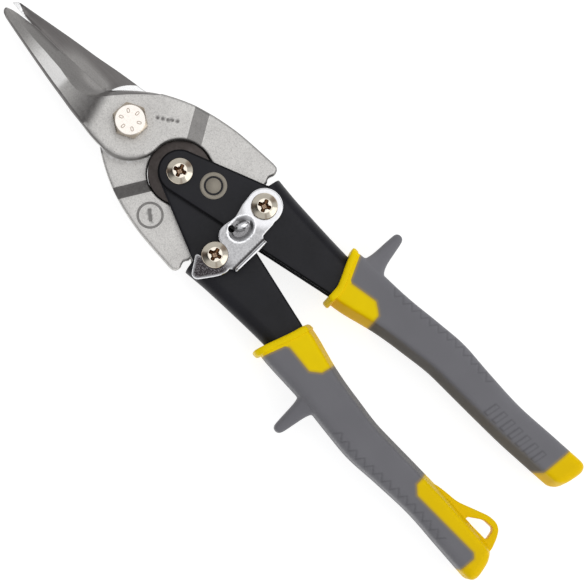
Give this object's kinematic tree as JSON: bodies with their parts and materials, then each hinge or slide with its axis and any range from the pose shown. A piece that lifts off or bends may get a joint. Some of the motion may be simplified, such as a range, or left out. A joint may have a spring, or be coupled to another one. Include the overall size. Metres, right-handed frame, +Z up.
{
  "type": "aviation snips",
  "caption": "Straight-cut compound-action hand snips, latched shut, with forged blades, folded steel handles, a hook latch and two-tone grips with finger guards.",
  "frame": {"origin": "bottom centre of the object's box, on the surface that the snips lie on", "axes": "+X from the grips towards the blade tips, +Y towards the left handle, +Z up, towards the side with the bolt head and the latch"},
  "size_m": [0.25, 0.0768, 0.0207],
  "materials": {
    "forged_steel": "forged, dark oxide left on the ground hollows, cutting bevels ground bright",
    "black_paint": "black satin powder coat",
    "plated_steel": "bright nickel plate",
    "disc_steel": "plain steel sheet",
    "spring_steel": "oil-blackened spring wire",
    "bright_plate": "bright zinc and chrome plate",
    "hard_yellow": "hard moulded plastic, half gloss",
    "soft_grey": "soft matt overmould"
  },
  "bodies": {
    "left_handle": {"left_handle": "black_paint", "left_grip_core": "hard_yellow", "left_grip_overmould": "soft_grey", "handle_pivot_screw": "plated_steel", "handle_pivot_nut": "plated_steel", "left_link_screw": "plated_steel", "left_link_nut": "plated_steel", "left_link_washer_front": "plated_steel", "left_link_washer_back": "plated_steel", "return_spring": "spring_steel", "spring_disc_front": "disc_steel", "spring_disc_back": "disc_steel"},
    "right_handle": {"right_handle": "black_paint", "right_grip_core": "hard_yellow", "right_grip_overmould": "soft_grey", "right_link_screw": "plated_steel", "right_link_nut": "plated_steel", "right_link_washer_front": "plated_steel", "right_link_washer_back": "plated_steel", "latch_washer": "bright_plate"},
    "rear_blade": {"rear_blade": "forged_steel"},
    "front_blade": {"front_blade": "forged_steel", "pivot_bolt": "plated_steel", "pivot_nut": "plated_steel"},
    "latch": {"latch": "bright_plate"}
  },
  "joints": [
    {"name": "handle_hinge", "type": "hinge", "parent": "left_handle", "child": "right_handle", "pos_m": [0.0431, 0, 0.0093], "axis": [0, 0, 1], "range_deg": [0, 36]},
    {"name": "rear_blade_hinge", "type": "hinge", "parent": "left_handle", "child": "rear_blade", "pos_m": [0.0145, 0.0117, 0.0093], "axis": [0, 0, 1], "range_deg": [0, 8.7]},
    {"name": "blade_pivot", "type": "hinge", "parent": "rear_blade", "child": "front_blade", "pos_m": [0.067, 0, 0.0093], "axis": [0, 0, 1], "range_deg": [0, 18.7]},
    {"name": "latch_hinge", "type": "hinge", "parent": "right_handle", "child": "latch", "pos_m": [0.0145, -0.0117, 0.0093], "axis": [0, 0, 1], "range_deg": [0, 72]}
  ],
  "couplings": [
    {"joint": "rear_blade_hinge", "follows": "handle_hinge", "ratio": 0.241},
    {"joint": "blade_pivot", "follows": "handle_hinge", "ratio": 0.518},
    {"joint": "latch_hinge", "follows": "handle_hinge", "ratio": 2}
  ]
}
